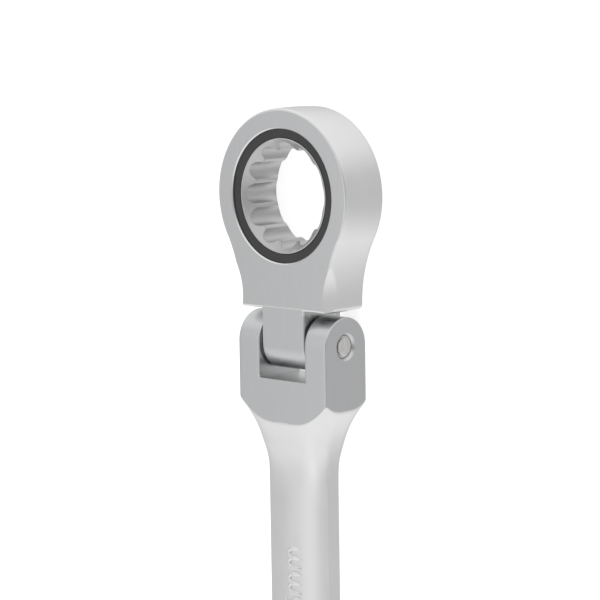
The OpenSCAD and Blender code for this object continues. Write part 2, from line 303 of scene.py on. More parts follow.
def flare_radius(angle, x):
    """Radius of the flare: a superellipse whose half width grows as a cubic and whose half thickness grows
    along an arc, both from the shank's own size."""
    run = np.clip(x - FLARE_END, 0, FLARE_ARC_R * 0.98)
    half_w = SHANK_HALF_W + (FORK_HALF_W - SHANK_HALF_W) * (run / FLARE_CUBIC_RUN) ** 3
    rise_run = np.clip(x - THICK_END, 0, FLARE_ARC_R * 0.98)
    half_t = SHANK_HALF_T + FLARE_ARC_R - np.sqrt(FLARE_ARC_R ** 2 - rise_run ** 2)
    n = FLARE_POWER
    return ((np.abs(np.cos(angle)) / half_w) ** n + (np.abs(np.sin(angle)) / half_t) ** n) ** (-1 / n)


def fork_outline():
    """Points (y, z) round the clevis block, a rectangle with rounded corners. Half of them run across the
    front and down one side, and the other half are the same points turned by half a turn."""
    flat_y, flat_z = FORK_HALF_W - FORK_EDGE_R, FORK_HALF_T - FORK_EDGE_R
    front_y = np.concatenate([
        np.linspace(flat_y, SLOT_HALF_W, 10)[:-1], np.linspace(SLOT_HALF_W, -SLOT_HALF_W, 25),
        np.linspace(-SLOT_HALF_W, -flat_y, 10)[1:]])
    turn = arc(90, 0, 6)[1:-1]
    corner = np.stack([-flat_y - FORK_EDGE_R * np.cos(turn), flat_z + FORK_EDGE_R * np.sin(turn)], -1)
    side_z = np.linspace(flat_z, -flat_z, SIDE_POINTS)
    half = np.concatenate([
        np.stack([front_y, 0 * front_y + FORK_HALF_T], -1), corner,
        np.stack([0 * side_z - FORK_HALF_W, side_z], -1), (corner * [1, -1])[::-1]])
    return np.concatenate([half, -half])


def shank_outline():
    """Directions for the same columns at the shank: the face's columns spread over the crown, the corner's
    columns gather at the crease, and the side's columns lie on the flat side."""
    face_y = np.linspace(CREASE_SHARE, -CREASE_SHARE, 43) * SHANK_HALF_W
    face = np.stack([face_y, crown(face_y)], -1)
    side_z = np.linspace(1, -1, SIDE_POINTS) * SHANK_EDGE_HALF_T * EDGE_SHARE
    side = np.stack([0 * side_z - SHANK_HALF_W, side_z], -1)
    step = np.linspace(0, 1, 7)[1:-1, None]
    corner = face[-1] * (1 - step) + side[0] * step
    half = np.concatenate([face, corner, side, (corner * [1, -1])[::-1]])
    return np.concatenate([half, -half])


block = fork_outline()
block_angle = np.unwrap(np.arctan2(block[:, 1], block[:, 0]))
block_radius = np.hypot(block[:, 0], block[:, 1])
thin = shank_outline()
shank_angle = np.unwrap(np.arctan2(thin[:, 1], thin[:, 0]))
grind_line = bisect(lambda x: flare_radius(block_angle, x) - block_radius,
                    0 * block_angle - 20, 0 * block_angle - 7)
print(f"flats end between {-grind_line.max():.1f} and {-grind_line.min():.1f} mm below the pin")

# %% [markdown]
# ## The open jaw
# The far end is an ordinary open jaw, turned 15 degrees to the shank. Its blank is a round, slightly
# barrelled disc that grows out of the shank, ground flat on both faces, with an arc across its tips. The
# same trick works again: the radius round the long axis is found by halving, for a shape that is the overlap
# of a barrel, two faces and the tip arc. The jaw's opening is cut afterwards with one tool.

# %% Sizes of the jaw
JAW_R = 17
JAW_HALF_T = 3.8
JAW_FILLET_R = 26
JAW_BARREL_HALF_T = 8            # the barrel's own half thickness, which the faces cut off
JAW_ANGLE = np.radians(15)
JAW_HALF_GAP = 8.05
TIP_ARC_R = 28
TIP_ARC_BACK = 18.5
tip_reach = (np.sqrt(TIP_ARC_R ** 2 - JAW_HALF_GAP ** 2) - TIP_ARC_BACK) * np.cos(JAW_ANGLE)
jaw_x = handle_low[0] + tip_reach + JAW_HALF_GAP * np.sin(JAW_ANGLE) - pin_x
tip_arc_x = jaw_x + TIP_ARC_BACK * np.cos(JAW_ANGLE)
tip_arc_y = TIP_ARC_BACK * np.sin(JAW_ANGLE)
fillet_y = SHANK_HALF_W + JAW_FILLET_R
fillet_x = np.sqrt((JAW_R + JAW_FILLET_R) ** 2 - fillet_y ** 2)
join_x = fillet_x * JAW_R / (JAW_R + JAW_FILLET_R)
THICKEN_FROM, THICKEN_TO = 32, 8   # the forging thickens between these distances from the jaw's middle
JAW_TIP_ROUNDING = 0.8
JAW_GRIND_END = 33               # the faces are ground up to this distance from the jaw's middle
JAW_FINISH_END = 26              # and keep the ground finish up to this one
print(f"jaw's middle {-jaw_x:.1f} mm below the pin, opening {2 * JAW_HALF_GAP:.1f} mm")


def jaw_half_width(d):
    """Half width at distance d from the jaw's middle: its circle, then a fillet that runs into the shank."""
    circle = np.sqrt(np.clip(JAW_R ** 2 - d ** 2, 0, None))
    fillet = fillet_y - np.sqrt(np.clip(JAW_FILLET_R ** 2 - (d - fillet_x) ** 2, 0, None))
    return np.where(d < join_x, circle, np.where(d < fillet_x, fillet, SHANK_HALF_W))


def jaw_radius(angle, x):
    """Radius of the jaw's blank about its own middle line, and that line's sideways place."""
    d = x - jaw_x
    centre_y = tip_arc_y * np.clip(-d / (TIP_ARC_R - TIP_ARC_BACK * np.cos(JAW_ANGLE)), 0, 1) ** 2
    half_w = np.maximum(jaw_half_width(d), 0.01)
    grown = np.clip((THICKEN_FROM - d) / (THICKEN_FROM - THICKEN_TO), 0, 1) ** 2
    half_t = SHANK_HALF_T + (JAW_BARREL_HALF_T - SHANK_HALF_T) * grown

    def outside(r):
        y, z = centre_y + r * np.cos(angle), np.abs(r * np.sin(angle))
        barrel = ((np.abs(y) / half_w) ** 3 + (z / half_t) ** 3) ** (1 / 3) * half_w - half_w
        tips = np.hypot(x - tip_arc_x, y - tip_arc_y) - TIP_ARC_R
        return soft_max(barrel, tips, JAW_TIP_ROUNDING)
    return bisect(outside, 0 * angle, 0 * angle + 24), centre_y

# %% Handle body
SHANK_FROM, JAW_FROM = -30, 36   # the shank's rows run from here to this distance from the jaw's middle


def between(a, b, count):
    """Rows from a to b, each a value per column, leaving out the last."""
    step = np.linspace(0, 1, count + 1)[:-1, None]
    return np.broadcast_to(a, block_angle.shape) * (1 - step) + np.broadcast_to(b, block_angle.shape) * step


def handle_body():
    """Sheet from the slot's floor to the jaw's tips. Rows gather at the ground flats' lower ends, columns
    turn from the block's corners to the shank's creases on the way down."""
    tip_end = tip_arc_x - TIP_ARC_R + 0.001
    round_end = jaw_x + (tip_end - jaw_x) * np.sin(np.linspace(0, np.pi / 2, 40))[:, None]
    x = np.concatenate([
        between(SLOT_FLOOR, SLOT_FLOOR - 0.12, 1), between(SLOT_FLOOR - 0.12, grind_line + 0.8, 5),
        between(grind_line + 0.8, grind_line - 0.8, 16),
        between(grind_line - 0.8, -19, 20), between(-19, SHANK_FROM, 20),
        between(SHANK_FROM, jaw_x + JAW_FROM, 28), between(jaw_x + JAW_FROM, jaw_x, 72),
        round_end + 0 * block_angle])
    turned = smooth_step(-x, -grind_line, 25)
    angle = block_angle * (1 - turned) + shank_angle * turned
    forging = flare_radius(angle, x)
    shank = shank_radius(angle)
    forging = shank + (forging - shank) * smooth_step(x, -29.5, -18)
    side = smooth_step(np.abs(block[:, 0]), FORK_HALF_W - 1.5, FORK_HALF_W)
    softness = GRIND_EDGE + (GRIND_EDGE_SIDE - GRIND_EDGE) * side
    ground = -soft_max(-np.where(x > grind_line - 3, block_radius, 99), -forging, softness)
    jaw, centre_y = jaw_radius(angle, x)
    to_jaw = smooth_step(-x, -(jaw_x + 34), -(jaw_x + 25))
    radius = np.where(x > SHANK_FROM, ground, shank * (1 - to_jaw) + jaw * to_jaw)
    points = np.stack([pin_x + x, centre_y + radius * np.cos(angle), mid_z + radius * np.sin(angle)], -1)
    points[0, :, 1:] = block + [0, mid_z]
    points[-1] = [pin_x + tip_end, tip_arc_y, mid_z]
    return sheet(points, closed_columns=True)

# %% [markdown]
# ## Ears and tang
# The clevis has two round-topped ears, and the head's tang between them has the same form turned over: a
# D-shaped plate with a hole through it. One function makes that plate's edge line, straight for a length and
# then half a circle. The plate's rim is this line carried across the thickness, moved inwards at both ends
# by a quarter circle, which gives the small bright edge. Its flat sides are rays from the hole to the line.

# %% D-shaped plates
def d_line(reach, radius, inset):
    """Points (x, z) up the front of a D-shaped plate, round its end and down the back, moved inwards."""
    straight = np.linspace(-reach, 0, 13)[:-1]
    turn = arc(90, -90, 56)
    ends = np.cumsum([len(straight), len(turn)])
    r_front, r_turn, r_back = np.split(np.full(ends[1] + len(straight), radius - inset), ends)
    x = np.concatenate([straight, r_turn * np.cos(turn), straight[::-1]])
    z = np.concatenate([r_front, r_turn * np.sin(turn), -r_back])
    return np.stack([x, z], -1)


def with_foot(line, steps=20):
    """The D-shaped line closed by evenly spaced points along its foot."""
    step = np.linspace(0, 1, steps + 1)[1:-1, None]
    return np.concatenate([line, line[-1] * (1 - step) + line[0] * step])


def raised(line, y):
    """Points of a line (x, z) placed at y, in the handle's frame."""
    return np.stack([pin_x + line[:, 0], np.broadcast_to(y, line[:, :1].shape[0]), mid_z + line[:, 1]], -1)


def round_the_hole(loop, radii, places):
    """Rings of points round a hole, each at the angle of the loop's own points."""
    angle = np.arctan2(loop[:, 1], loop[:, 0])
    return [raised(r * np.stack([np.cos(angle), np.sin(angle)], -1), y) for r, y in zip(radii, places)]


def ray_rows(loop, hole_r, y, rows=6):
    """Rows from a loop inwards to a hole, on straight lines. The first row hugs the loop, so that the wall's
    shading stays flat up to its edge."""
    angle = np.arctan2(loop[:, 1], loop[:, 0])
    rim = hole_r * np.stack([np.cos(angle), np.sin(angle)], -1)
    return [raised(loop * (1 - t) + rim * t, y) for t in [0, *np.linspace(0.03, 1, rows)]]


EAR_INNER_EDGE_R = 0.2
PIN_HOLE_R = 2.0
SINK_R = 2.45                    # countersink round the pin's ends
SINK_BEVEL = 0.06
SINK_DEPTH = 0.5


def ear_sheets(side):
    """Rim and walls of one ear; side is 1 for +Y and -1 for -Y. The inner edge's rounding fades out at the
    slot's floor, so the rim meets the handle's body point for point."""
    reach = -SLOT_FLOOR
    along = d_line(reach, FORK_HALF_T, 0)[:, 0]
    inner_r = EAR_INNER_EDGE_R * smooth_step(along, -reach, -reach + 0.8)
    quarter = arc(0, 90, 5)
    rim = []
    for t in quarter:
        rim.append(raised(d_line(reach, FORK_HALF_T, inner_r * (1 - np.sin(t))),
                          side * (SLOT_HALF_W + inner_r * (1 - np.cos(t)))))
    for y in np.linspace(SLOT_HALF_W, FORK_HALF_W - FORK_EDGE_R, 10)[1:]:
        rim.append(raised(d_line(reach, FORK_HALF_T, 0), side * y))
    for t in arc(90, 0, 6)[1:]:
        rim.append(raised(d_line(reach, FORK_HALF_T, FORK_EDGE_R * (1 - np.sin(t))),
                          side * (FORK_HALF_W - FORK_EDGE_R * (1 - np.cos(t)))))
    inner_loop = with_foot(d_line(reach, FORK_HALF_T, inner_r))
    outer_loop = with_foot(d_line(reach, FORK_HALF_T, FORK_EDGE_R))
    inner = ray_rows(inner_loop, PIN_HOLE_R, side * SLOT_HALF_W)
    outer = ray_rows(outer_loop, SINK_R + SINK_BEVEL, side * FORK_HALF_W)
    sink_radii = [SINK_R + SINK_BEVEL, SINK_R, PIN_HOLE_R + 0.03, PIN_HOLE_R]
    sink_places = [FORK_HALF_W, FORK_HALF_W - 0.04, FORK_HALF_W - 0.43, FORK_HALF_W - SINK_DEPTH]
    bore = round_the_hole(outer_loop, sink_radii, [side * y for y in sink_places]) + [inner[-1]]
    return [sheet(np.stack(rim)), sheet(np.stack(inner), closed_columns=True),
            sheet(np.stack(outer), closed_columns=True), sheet(np.stack(bore), closed_columns=True)]


def slot_floor():
    """Flat sheet between the ears, from the front edge's points to the back edge's."""
    y = block[(np.abs(block[:, 0]) <= SLOT_HALF_W + 1e-9) & (block[:, 1] > 0)][:, 0]
    z = np.linspace(FORK_HALF_T, -FORK_HALF_T, SIDE_POINTS)
    y_grid, z_grid = np.meshgrid(y, z)
    return sheet(np.stack([pin_x + SLOT_FLOOR + 0 * y_grid, y_grid, mid_z + z_grid], -1))


def jaw_opening():
    """Tool that cuts the jaw: parallel jaws with a V-shaped throat, turned by the jaw's angle. Its outline
    widens as it passes each face, which leaves a small chamfer."""
    throat, reach = JAW_HALF_GAP / np.cos(np.radians(30)), 40
    corners = np.array([[-reach, -JAW_HALF_GAP], [throat / 2, -JAW_HALF_GAP], [throat, 0],
                        [throat / 2, JAW_HALF_GAP], [-reach, JAW_HALF_GAP]])
    grow = np.array([[0, -1], [0.5, -1], [1.15, 0], [0.5, 1], [0, 1]])
    chamfer, beyond, widest, top = 0.35, 0.6, 0.95, 9
    half = np.array([JAW_HALF_T - chamfer, JAW_HALF_T + beyond, top])
    heights = np.concatenate([-half[::-1], half])
    widen = np.array([widest, widest, 0, 0, widest, widest])
    flat = corners[None] + grow[None] * widen[:, None, None]
    c, s = np.cos(JAW_ANGLE), np.sin(JAW_ANGLE)
    x = pin_x + jaw_x + flat[..., 0] * c - flat[..., 1] * s
    y = flat[..., 0] * s + flat[..., 1] * c
    points = np.stack([x, y, mid_z + heights[:, None] + 0 * x], -1)
    middle = points.mean(axis=1, keepdims=True) + 0 * points
    walls = np.concatenate([middle[:1], points, middle[-1:]])
    return build("jaw_opening", [sheet(walls, closed_columns=True)])


# %% Handle
GRINDER_HALF_W, GRINDER_TOP = 30, 12
handle = build("forged_handle", [handle_body(), slot_floor(), *ear_sheets(1), *ear_sheets(-1)])
for side in (-1, 1):
    near, far = sorted((mid_z + side * JAW_HALF_T, mid_z + side * GRINDER_TOP))
    cut(handle, box_tool("jaw_grinder", [handle_low[0] - 5, -GRINDER_HALF_W, near],
                         [pin_x + jaw_x + JAW_GRIND_END, GRINDER_HALF_W, far]))
cut(handle, jaw_opening())
smooth(handle, crisp=(handle_low[0], pin_x + jaw_x + JAW_GRIND_END))

# %% [markdown]
# ## The head
# The head is a second forging: a ring, a neck and a tang. Seen from the front its outline is arcs, so the
# outline comes first, as a closed line. The surface is that line carried through a section: out of the bore,
# over the flat face, round the edge, down the slightly crowned side and back. Cutters then take away what a
# grinder and a milling cutter take away on the real one: the relief on the neck's front corners, the pawl's
# pocket and the hole for its spring.

# %% Head
HEAD_HALF_T = 5
HEAD_EDGE_R = 0.45
SIDE_CROWN = 0.12                # how far the side wall leans in towards its edges
OPENING_R = 12.15
BACK_LIP_R = 11.6
BACK_LIP_T = 1.2
OPENING_BEVEL = 0.2
HEAD_REACH = ring_x - pin_x
SHOULDER_X = 6.3 - HEAD_REACH    # from here on, lengths along the wrench are from the ring's middle
NECK_HALF = 10.8
NECK_LOW_X = 7.4 - HEAD_REACH
SHOULDER_CORNER_R = 0.9
RELIEF_X = 8.5 - HEAD_REACH
RELIEF_WAIST_R = 11.05
RELIEF_ARC_R = 12.8
TANG_HALF_W = 5.15
TANG_HALF_T = 4.98               # a hair under the face, so that the two forms can be joined
TANG_EDGE_R = 0.25
TANG_REACH = 8.5                 # from the pin into the neck
POCKET_ROOM = 0.1                # round the pawl
SPRING_HOLE_R = 1.3
FACE_SHARES = (0.12, 0.4, 0.7, 0.92)     # rows across the flat face, as shares of its width


def head_outline():
    """Closed line round the ring and neck: the ring's arc, a fillet tangent to it, and the shoulder."""
    neck_r = (NECK_LOW_X ** 2 + NECK_HALF ** 2 - ring_r ** 2) / (2 * (ring_r - NECK_HALF))
    fillet_y_mid = NECK_HALF + neck_r
    join = np.degrees(np.arctan2(fillet_y_mid, NECK_LOW_X))
    around = arc(0, join, 84)
    ring = ring_r * np.stack([np.cos(around), np.sin(around)], -1)
    bend = arc(join - 180, -90, 40)[1:]
    fillet = np.stack([NECK_LOW_X + neck_r * np.cos(bend), fillet_y_mid + neck_r * np.sin(bend)], -1)
    turn = arc(90, 180, 4)
    corner_mid = np.array([SHOULDER_X + SHOULDER_CORNER_R, NECK_HALF - SHOULDER_CORNER_R])
    corner = corner_mid + SHOULDER_CORNER_R * np.stack([np.cos(turn), np.sin(turn)], -1)
    shoulder = np.stack([np.full(27, SHOULDER_X), np.linspace(corner_mid[1], 0, 28)[1:]], -1)
    half = np.concatenate([ring, fillet, corner, shoulder])
    return np.concatenate([half, (half * [1, -1])[-2:0:-1]])


def outward(line):
    """Unit normals of a closed line that runs anticlockwise, from its neighbours."""
    along = np.roll(line, -1, 0) - np.roll(line, 1, 0)
    normal = np.stack([along[:, 1], -along[:, 0]], -1)
    return normal / np.linalg.norm(normal, axis=1, keepdims=True)


def head_ring():
    """Sheet closed both ways: one row per station of the section, one column per point of the outline."""
    line = head_outline()
    normal = outward(line)
    ray = line / np.linalg.norm(line, axis=1, keepdims=True)
    rows = []
    quarter = arc(0, 90, 6)
    face_in = HEAD_EDGE_R + SIDE_CROWN
    wall_top = HEAD_HALF_T - HEAD_EDGE_R
    wall_z = np.linspace(wall_top, -wall_top, 25)
    wall_in = SIDE_CROWN * (wall_z / wall_top)[1:-1] ** 2
    inset = np.concatenate([face_in - HEAD_EDGE_R * np.sin(quarter), wall_in,
                            SIDE_CROWN + HEAD_EDGE_R * (1 - np.cos(quarter))])
    height = np.concatenate([wall_top + HEAD_EDGE_R * np.cos(quarter), wall_z[1:-1],
                             -wall_top - HEAD_EDGE_R * np.sin(quarter)])
    inner = [(BACK_LIP_R + OPENING_BEVEL, -HEAD_HALF_T), (BACK_LIP_R, -HEAD_HALF_T + OPENING_BEVEL),
             (BACK_LIP_R, -HEAD_HALF_T + BACK_LIP_T), (OPENING_R, -HEAD_HALF_T + BACK_LIP_T),
             (OPENING_R, 0), (OPENING_R, HEAD_HALF_T - OPENING_BEVEL),
             (OPENING_R + OPENING_BEVEL, HEAD_HALF_T)]
    for r, z in inner:
        rows.append(np.concatenate([ray * r, 0 * ray[:, :1] + z], 1))
    front_in, front_out = rows[-1][:, :2], line - normal * inset[0]
    back_in, back_out = rows[0][:, :2], line - normal * inset[-1]
    for t in FACE_SHARES:
        rows.append(np.concatenate([front_in * (1 - t) + front_out * t, 0 * ray[:, :1] + HEAD_HALF_T], 1))
    for d, z in zip(inset, height):
        rows.append(np.concatenate([line - normal * d, 0 * ray[:, :1] + z], 1))
    for t in FACE_SHARES[::-1]:
        rows.append(np.concatenate([back_in * (1 - t) + back_out * t, 0 * ray[:, :1] - HEAD_HALF_T], 1))
    return sheet(np.stack(rows) + [ring_x, 0, mid_z], closed_rows=True, closed_columns=True)


def tang():
    """The tang: a D-shaped plate whose round end hangs round the pin, with a bored hole."""
    rim = [(TANG_HALF_W - TANG_EDGE_R * (1 - np.sin(t)), TANG_EDGE_R * (1 - np.cos(t)))
           for t in arc(0, 90, 5)]
    stations = [(-y, inset) for y, inset in rim[::-1]] + [(y, 0) for y in np.linspace(-4.7, 4.7, 20)] + rim
    flip = np.array([-1, 1])
    loops = [with_foot(d_line(TANG_REACH, TANG_HALF_T, inset)) * flip for _, inset in stations]
    rows = [raised(loop, y) for loop, (y, _) in zip(loops, stations)]
    hole_r = PIN_HOLE_R + 0.05
    first = ray_rows(loops[0], hole_r, stations[0][0])
    last = ray_rows(loops[-1], hole_r, stations[-1][0])
    bore = [first[-1], last[-1]]
    return build("tang", [sheet(np.stack(part), closed_columns=True) for part in (rows, first, last, bore)])


def relief_cutter():
    """Front half of a ring-shaped tool round the neck's own axis, with a round section that just bites the
    two front corners."""
    a = arc(0, 360, 120)[:-1]
    middle = RELIEF_WAIST_R + RELIEF_ARC_R
    points = revolve(middle + RELIEF_ARC_R * np.cos(a), RELIEF_X + RELIEF_ARC_R * np.sin(a), 180, 0,
                     [ring_x, 0, mid_z])
    cutter = build("relief_cutter", [sheet(points, closed_rows=True, closed_columns=True)])
    beyond = 60
    cut(cutter, box_tool("front_half", [ring_x - beyond, -beyond, mid_z],
                         [ring_x + beyond, beyond, mid_z + beyond]), "INTERSECT")
    return cutter


def pawl_pocket():
    """The pocket behind the gear, with room for the pawl to back out of the teeth."""
    low, high = node_box("pawl")
    travel = frame["joints"][2]["range_m"][1] / MM
    return box_tool("pawl_pocket", low - [travel + 2 * POCKET_ROOM, POCKET_ROOM, POCKET_ROOM],
                    [ring_x - OPENING_R + 2, high[1] + POCKET_ROOM, high[2] + POCKET_ROOM])


def spring_hole():
    """The round hole behind the pocket, in which the pawl's spring sits."""
    low, high = node_box("pawl_spring")
    back, front = low[0] - 0.02, high[0]
    hole = revolve([0, SPRING_HOLE_R, SPRING_HOLE_R, 0], [back, back, front, front], 48, 0,
                   [0, (low[1] + high[1]) / 2, mid_z])
    return build("spring_hole", [sheet(hole, closed_columns=True)])


head = build("forged_head", [head_ring()])
cut(head, relief_cutter())
cut(head, tang(), "UNION")
cut(head, pawl_pocket())
cut(head, spring_hole())
smooth(head, crisp=(pin_x, ring_x + ring_r))

# %% [markdown]
# ## The gear
# The turning ring is broached with twelve points, which is two hexagons laid over each other, and it has a
# conical lead-in at each mouth. As a surface it is a radius in every direction: the bore's radius repeats
# every 30 degrees, and in the mouth the cone's radius takes over wherever it is larger. The rows follow the
# line where the two meet, which draws the scalloped edge.

# %% Gear
NUT_HALF = 8.05                  # half the width across the flats, with its clearance
RIDGE_R = NUT_HALF / np.cos(np.radians(15)) + 0.08
CORNER_R = NUT_HALF / np.cos(np.radians(30))
LOBE_R = 1.85                    # a wide round lobe clears each corner
LOBE_DEPTH = 0.45                # beyond the corner
LOBE_AT = CORNER_R + LOBE_DEPTH - LOBE_R
LOBE_ROUNDING = 0.3
LEAD_MOUTH_R = 10.2
COLLAR_R = 10.45
BACK_COLLAR_R = 11.5
TOOTH_TIP_R = 12.05
TOOTH_ROOT_R = 11.55
TOOTH_COUNT = 72
TOOTH_STATIONS = np.array([0, 0.06, 0.12, 0.25, 0.38, 0.5, 0.6, 0.69, 0.78, 0.84, 0.9, 0.95])
GEAR_BAND_LOW, GEAR_BAND_HIGH = 1.7, 8.4      # the toothed band, above the bench
gear_top, gear_bottom = gear_high[2] - mid_z, gear_low[2] - mid_z


def bore_radius(angle):
    """Twelve-point bore: the larger of two hexagons, a flattened ridge and a round lobe in each corner."""
    off = np.abs((angle + np.pi / 12) % (np.pi / 6) - np.pi / 12)
    hexagons = NUT_HALF / np.cos(np.pi / 6 - off)
    across = LOBE_R ** 2 - (LOBE_AT * np.sin(off)) ** 2
    lobe = np.where(across > 0, LOBE_AT * np.cos(off) + np.sqrt(np.clip(across, 0, None)), 0)
    return soft_max(np.maximum(hexagons, lobe), RIDGE_R, LOBE_ROUNDING)


def tooth_radius():
    """Outer radius at each column: tip, long sloping back, root and steep flank of a saw tooth."""
    one = np.interp(TOOTH_STATIONS, [0, 0.12, 0.78, 0.9, 1], [1, 1, 0, 0, 1])
    return np.tile(TOOTH_ROOT_R + (TOOTH_TIP_R - TOOTH_ROOT_R) * one, TOOTH_COUNT)


def gear_sheet():
    """Sheet closed both ways: the columns go round tooth by tooth, and the rows go over the front collar,
    down the cone and the bore, out at the back and up the teeth."""
    tooth = np.repeat(np.arange(TOOTH_COUNT), len(TOOTH_STATIONS)) + np.tile(TOOTH_STATIONS, TOOTH_COUNT)
    angle = -tooth / TOOTH_COUNT * 2 * np.pi
    bore, teeth, one = bore_radius(angle), tooth_radius(), np.ones(angle.shape)
    lead_depth = LEAD_MOUTH_R - bore
    edge = 0.12
    rows = [(COLLAR_R, GEAR_BAND_HIGH - mid_z), (COLLAR_R, gear_top - edge),
            (COLLAR_R - edge * 0.3, gear_top - edge * 0.3), (COLLAR_R - edge, gear_top),
            (LEAD_MOUTH_R + 0.05, gear_top)]
    rows += [(LEAD_MOUTH_R - lead_depth * t, gear_top - lead_depth * t) for t in (0.02, 0.3, 0.6, 0.85, 0.97)]
    rows += [(bore, gear_top - lead_depth - 0.05)]
    rows += [(bore, gear_top - lead_depth - 0.05 + (gear_bottom - gear_top + 2 * lead_depth + 0.1) * t)
             for t in np.linspace(0, 1, 8)[1:]]
    rows += [(LEAD_MOUTH_R - lead_depth * t, gear_bottom + lead_depth * t) for t in (0.97, 0.6, 0.3, 0.02)]
    rows += [(LEAD_MOUTH_R + 0.05, gear_bottom), (BACK_COLLAR_R - edge, gear_bottom),
             (BACK_COLLAR_R, gear_bottom + edge), (BACK_COLLAR_R, GEAR_BAND_LOW - mid_z),
             (teeth, GEAR_BAND_LOW - mid_z), (teeth, GEAR_BAND_HIGH - mid_z)]
    points = [np.stack([ring_x + r * np.cos(angle), r * np.sin(angle), mid_z + z * one], -1) for r, z in rows]
    return sheet(np.stack(points), closed_rows=True, closed_columns=True)


gear = build("bored_gear", [gear_sheet()])
smooth(gear, np.radians(24))

# %% [markdown]
# ## Small turned parts
# The cover ring and the flex pin are lathe work, so each is a profile turned about an axis. The profiles have
# the small broken edges that a turned part always has. The pin's ends are stepped down and slightly domed.

# %% Cover ring and pin
def turned_ring(name, inner, outer, low, high, edge, axis, centre, steps):
    """A ring with a rectangular section whose four corners are cut off by the edge's width."""
    radii = [inner, inner, inner + edge, outer - edge, outer, outer, outer - edge, inner + edge]
    places = [low + edge, high - edge, high, high, high - edge, low + edge, low, low]
    profile = revolve(radii, places, steps, axis, centre)
    return build(name, [sheet(profile, closed_rows=True, closed_columns=True)])


cover_low, cover_high = node_box("cover_ring")
COVER_INNER_R = 10.55
cover = turned_ring("sunken_cover_ring", COVER_INNER_R, OPENING_R, cover_low[2], cover_high[2], 0.08, 2,
                    [ring_x, 0, 0], 360)
smooth(cover)


def flex_pin():
    """The pin: a rod whose ends are stepped down and slightly domed, which leaves a dark gap round them."""
    r = (pin_high[2] - pin_low[2]) / 2
    end = pin_high[1]
    gap, deep, dome = 0.3, 0.45, 0.06
    across = np.linspace(0, r - gap - 0.1, 9)
    cap = end - dome * (across / r) ** 2
    radii = np.concatenate([across, [r - gap - 0.02, r - gap, r - gap * 0.9, r]])
    places = np.concatenate([cap, end - dome - np.array([0.02, 0.1, deep - 0.02, deep])])
    profile_r, profile_y = np.concatenate([radii, radii[::-1]]), np.concatenate([places, -places[::-1]])
    return build("bevelled_flex_pin", [sheet(revolve(profile_r, profile_y, 96, 1, [pin_x, 0, mid_z]),
                                             closed_columns=True)])


pin = flex_pin()
smooth(pin)

# %% [markdown]
# ## The size mark
# Wrenches carry their size in raised letters, pressed into the shank when it is forged. Such letters are
# round-topped beads, not cut-out slabs, so each stroke is a bead: a flat ellipse carried along a path on
# the crowned face, tapering at both ends. The strokes read towards the head: 16 mm, a plain nut size.

# %% Size mark
BEAD_HALF_W = 0.42
BEAD_HEIGHT = 0.38
BEAD_SINK = 0.03                 # the bead's foot lies this far inside the face
BEAD_POWER = 0.6                 # below 1, which makes the bead squarish
LETTER_H = 3.0                   # height of a small letter; the numbers are taller
STEM_GAP = 1.8                   # from stem to stem in an m
MARK_END = -37.6                 # the last letter ends here, from the pin
M_GAP = 1.15                     # from one m to the next
SIX_BACK, ONE_BACK = 3.2, 5.6    # the two numbers start this far before the letters
NUMBER_SHARE = 1.35              # height of a number to that of a letter


def arch(a0, a1, spring, top, foot):
    """Path of one arch of an m: up from its spring, over half an ellipse, and down to its foot."""
    t = arc(180, 0, 14)
    over = np.stack([(a0 + a1) / 2 + (a1 - a0) / 2 * np.cos(t), spring + (top - spring) * np.sin(t)], -1)
    return np.concatenate([over, [[a1, foot + (spring - foot) * 0.5], [a1, foot]]])


def letter_m(start):
    """Three stems joined by two arches."""
    stem = np.stack([np.full(9, start), np.linspace(LETTER_H, 0, 9)], -1)
    spring = LETTER_H * 0.62
    return [stem, arch(start, start + STEM_GAP, spring, LETTER_H, 0),
            arch(start + STEM_GAP, start + 2 * STEM_GAP, spring, LETTER_H, 0)]


def number_six(start, tall):
    """A closed ellipse with a stroke that sweeps up from its left side."""
    t = arc(180, -180, 36)
    wide, low = 1.05, tall * 0.3
    bowl = np.stack([start + wide + wide * np.cos(t), low + low * np.sin(t)], -1)
    s = arc(180, 95, 14)
    sweep = np.stack([start + 2 * wide + 2 * wide * np.cos(s), low + (tall - low) * np.sin(s)], -1)
    return [bowl, sweep]


def number_one(start, tall):
    """A stem with a short flag."""
    stem = np.stack([np.full(9, start + 0.9), np.linspace(tall, 0, 9)], -1)
    flag = np.stack([np.linspace(start + 0.9, start, 6), np.linspace(tall, tall - 0.9, 6)], -1)
    return [stem, flag]


def bead(path):
    """Sheet of one stroke: every path point carries a squarish ellipse, the cosine and the sine of its angle
    raised to BEAD_POWER, which stands on the face and ends in a taper."""
    along = np.gradient(path, axis=0)
    along /= np.linalg.norm(along, axis=1, keepdims=True)
    side = np.stack([along[:, 1], -along[:, 0]], -1)
    t = arc(0, 360, 20)[:-1]
    length = np.concatenate([[0], np.cumsum(np.linalg.norm(np.diff(path, axis=0), axis=1))])
    from_end = np.minimum(length, length[-1] - length) + 0.02
    taper = np.sqrt(np.clip(1 - (1 - np.clip(from_end / BEAD_HALF_W, 0, 1)) ** 2, 0, 1))[:, None]
    across, up = (np.sign(v) * np.abs(v) ** BEAD_POWER for v in (np.cos(t), np.sin(t)))
    x = path[:, :1] + taper * BEAD_HALF_W * across * side[:, :1]
    y = path[:, 1:] + taper * BEAD_HALF_W * across * side[:, 1:] - LETTER_H / 2
    z = mid_z + crown(y) - BEAD_SINK + taper * BEAD_HEIGHT * up
    rows = np.stack([x, y, z], -1)
    ends = [np.broadcast_to(row.mean(0), rows[:1].shape) for row in (rows[0], rows[-1])]
    return sheet(np.concatenate([ends[0], rows, ends[1]]), closed_columns=True)


